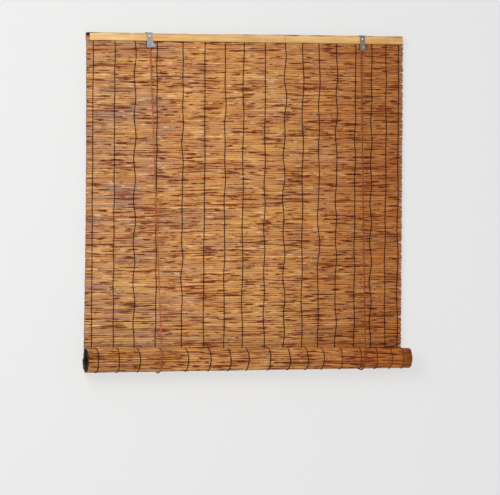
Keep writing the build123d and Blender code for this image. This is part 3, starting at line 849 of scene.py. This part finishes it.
def bambooMaterial(name, deep, tone=(1.0, 1.0, 1.0, 1.0)):
    material, tree, surface = newMaterial(name, Roughness=0.5, Specular_IOR_Level=0.4)
    axes = place(tree)
    grain = cloud(tree, stretched(tree, axes, (6.0, 500.0, 500.0)), 1.0, 5)
    broad = cloud(tree, stretched(tree, axes, (9.0, 60.0, 60.0)), 1.0, 3)
    specks = cloud(tree, stretched(tree, axes, (60.0, 900.0, 900.0)), 1.0, 2)
    colour = mixed(tree, remap(tree, broad, 0.35, 0.7), lathSet["colour"], lathSet["pale"])
    colour = mixed(tree, remap(tree, grain, 0.52, 0.75, 0.0, 0.7 * deep), colour, lathSet["brown"])
    colour = mixed(tree, remap(tree, specks, 0.66, 0.76, 0.0, 0.5 * deep), colour, lathSet["dark"])
    nodeMark, split, edge, _ = marks(tree, "lathMarks")
    colour = mixed(tree, sums(tree, "MULTIPLY", nodeMark, 0.5), colour, lathSet["pale"])
    colour = mixed(tree, sums(tree, "MULTIPLY", split, 0.9), colour, lathSet["dark"])
    colour = mixed(tree, sums(tree, "MULTIPLY", edge, 0.35), colour, lathSet["brown"])
    # painted shade: the lath darkens and warms towards the right
    colour = mixed(tree, remap(tree, axes[0], 0.0, 0.5), colour, lathSet["rightShade"], "MULTIPLY")
    colour = mixed(tree, 1.0, colour, tone, "MULTIPLY")
    tree.links.new(colour, surface.inputs["Base Color"])
    tree.links.new(remap(tree, grain, 0.3, 0.7, 0.42, 0.6), surface.inputs["Roughness"])
    relief(tree, surface, grain, 0.3, 0.0003)
    return material


def lathSection():  # from the top back corner round by the crowned face
    back, face, half, r = lathSet["back"], lathSet["face"], lathSet["half"], lathSet["round"]
    front = face + lathSet["crown"] + r
    points = []
    for cy, cz, turn in ((back - r, half - r, 0), (front, half - r, 90), (front, r - half, 180),
                         (back - r, r - half, 270)):
        for angle in lathSet["roundSteps"]:
            a = math.radians(turn + angle)
            points.append((cy + r * math.cos(a), cz + r * math.sin(a)))
        if turn == 90:  # the crowned face, from top to bottom
            for share in lathSet["crownShares"]:
                points.append((face + lathSet["crown"] * share * share, -share * (half - r)))
    return np.array(points)


def makeLaths():
    random = np.random.default_rng(lathSet["seed"])
    section = lathSection()
    left, right, middle = lathSet["left"], lathSet["right"], (lathSet["back"] + lathSet["face"]) / 2
    close = [spot + way * shift for spot in (*lathSet["nodes"], lathSet["split"])
             for shift in lathSet["closeBy"] for way in (-1, 1)]
    ends = [left + lathSet["endInset"], right - lathSet["endInset"]]
    x = np.unique(np.concatenate((np.linspace(left, right, lathSet["stations"]), close, ends)))
    node = np.max([np.clip(1 - np.abs(x - spot) / lathSet["nodeReach"], 0, 1)
                   for spot in lathSet["nodes"]], axis=0)
    split = np.clip(1 - np.abs(x - lathSet["split"]) / lathSet["splitReach"], 0, 1)
    waver = sum(random.normal(0, lathSet["waver"])
                * np.sin(x * random.uniform(10, 130) + random.uniform(0, 6))
                for _ in range(lathSet["wavers"]))
    for spot in blind["brackets"]:  # straight where a bracket holds it
        waver = waver * (1 - np.exp(-((x - spot) / lathSet["clampReach"]) ** 4))
    rings = np.empty((len(x), len(section), 3))
    rings[..., 0] = x[:, None]
    rings[..., 1] = section[None, :, 0]
    rings[..., 2] = section[None, :, 1] * (1 - lathSet["slim"] * np.abs(np.sin(x * 9 + 1)))[:, None]
    rings[..., 2] += waver[:, None] * (section[None, :, 1] > 0)
    forward = np.clip((lathSet["back"] - section[:, 0]) / lathSet["sideReach"] - 0.2, 0, 1)
    rings[..., 1] += forward[None, :] * (lathSet["splitDepth"] * split - lathSet["nodeRise"] * node)[:, None]
    rings[..., 1] = np.maximum(rings[..., 1], lathSet["face"] - lathSet["proud"])
    shut = np.isin(x, (x[0], x[-1]))
    rings[shut, :, 1] = middle + lathSet["endDepth"] * (rings[shut, :, 1] - middle)
    rings[shut, :, 2] *= lathSet["endHeight"]
    tint = np.zeros((len(x), len(section), 4))
    tint[..., 0] = node[:, None]
    tint[..., 1] = split[:, None] * (section[None, :, 1] > lathSet["splitFoot"])
    tint[..., 2] = np.clip(np.abs(section[:, 1]) / lathSet["half"] * 4 - 3, 0, 1)[None, :]
    bamboo = bambooMaterial("frontBamboo", 1.0)
    front = skinned("frontLath", [(rings, tint)], bamboo, "lathMarks", lathSet["sharp"])
    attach(front, "head_and_mat")
    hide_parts("front_head_lath")
    finishNode("back_head_lath", bambooMaterial("backBamboo", 1.4), lathSet["softEdge"])
    # the bottom lath, inside the roll, is darkened all over as painted shade
    finishNode("bottom_lath", bambooMaterial("coreBamboo", 1.4, lathSet["coreTone"]), lathSet["softEdge"])


makeLaths()
print("laths split")


# brackets, pulleys, pins, brads and tacks
metalSet = {
    "leftZinc": paint(164, 160, 164), "rightZinc": paint(132, 122, 120), "stain": paint(104, 92, 86),
    "shadow": paint(58, 46, 42), "bright": paint(226, 222, 218), "brightStain": paint(150, 140, 132),
    "pulley": paint(120, 106, 94), "pulleyWorn": paint(164, 150, 134),
    "zincEdge": 0.0002, "pulleyEdge": 0.00015,
    "tackY": -0.022, "tackZ": 0.003, "tackSides": 20, "tackSharp": 45,
    # a tack's depth and radius, from the point to the top of its domed head
    "tack": ((0.0055, 0.0002), (0.0045, 0.0007), (0.0, 0.0007), (0.0, 0.0024), (-0.00012, 0.0026),
             (-0.0003, 0.0025), (-0.0006, 0.002), (-0.0008, 0.0013), (-0.0009, 0.0005)),
}


def metalMaterial(name, colour, stain, rough, dull):
    material, tree, surface = newMaterial(name, Metallic=0.85)
    x, y, z = place(tree)
    spangle = cloud(tree, spread(tree, x, y, z), 260, 2)
    streak = cloud(tree, stretched(tree, (x, y, z), (10.0, 1.0, 1.0)), 120, 4)
    shade = mixed(tree, remap(tree, spangle, 0.4, 0.65, 0.0, 0.35), colour, stain)
    shade = mixed(tree, remap(tree, streak, 0.52, 0.72, 0.0, dull), shade, stain)
    facing = addNode(tree, "SeparateXYZ")
    tree.links.new(addNode(tree, "TexCoord").outputs["Normal"], facing.inputs[0])
    shade = mixed(tree, remap(tree, facing.outputs["X"], -0.95, -0.7, 0.85, 0.0), shade, metalSet["shadow"])
    tree.links.new(shade, surface.inputs["Base Color"])
    tree.links.new(remap(tree, streak, 0.3, 0.7, rough, rough + 0.2), surface.inputs["Roughness"])
    relief(tree, surface, spangle, 0.15, 0.0003)
    return material


def pulleyMaterial():
    material, tree, surface = newMaterial("pulleyMould", Roughness=0.5, Specular_IOR_Level=0.4)
    rub = cloud(tree, stretched(tree, place(tree), (1.0, 6.0, 1.0)), 300, 3)
    colour = mixed(tree, remap(tree, rub, 0.4, 0.7), metalSet["pulley"], metalSet["pulleyWorn"])
    tree.links.new(colour, surface.inputs["Base Color"])
    tree.links.new(remap(tree, rub, 0.3, 0.7, 0.4, 0.62), surface.inputs["Roughness"])
    relief(tree, surface, rub, 0.2, 0.0002)
    return material


def makeMetal():
    # the right bracket's zinc is darker and more streaked: tarnish, and painted shade
    for side, rough, dull in (("left", 0.34, 0.5), ("right", 0.38, 0.8)):
        zinc = metalMaterial(side + "Zinc", metalSet[side + "Zinc"], metalSet["stain"], rough, dull)
        finishNode(side + "_pulley_bracket", zinc, metalSet["zincEdge"])
    steel = metalMaterial("brightSteel", metalSet["bright"], metalSet["brightStain"], 0.22, 0.3)
    for name in ("left_pulley_pin", "right_pulley_pin", "lath_brads"):
        finishNode(name, steel)
    mould = pulleyMaterial()
    for name in ("left_pulley", "right_pulley"):
        finishNode(name, mould, metalSet["pulleyEdge"])
    angle = ringAngles(metalSet["tackSides"])
    parts = []
    for x in blind["brackets"]:
        rings = [np.stack((x + radius * np.cos(angle), np.full_like(angle, metalSet["tackY"] + depth),
                           metalSet["tackZ"] + radius * np.sin(angle)), 1)
                 for depth, radius in metalSet["tack"]]
        parts.append((np.array(rings), None))
    tacks = skinned("tackHeads", parts, steel, sharp=metalSet["tackSharp"])
    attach(tacks, "head_and_mat")
    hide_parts("bracket_tacks")


makeMetal()
print("metal finished")

bpy.context.view_layer.update()
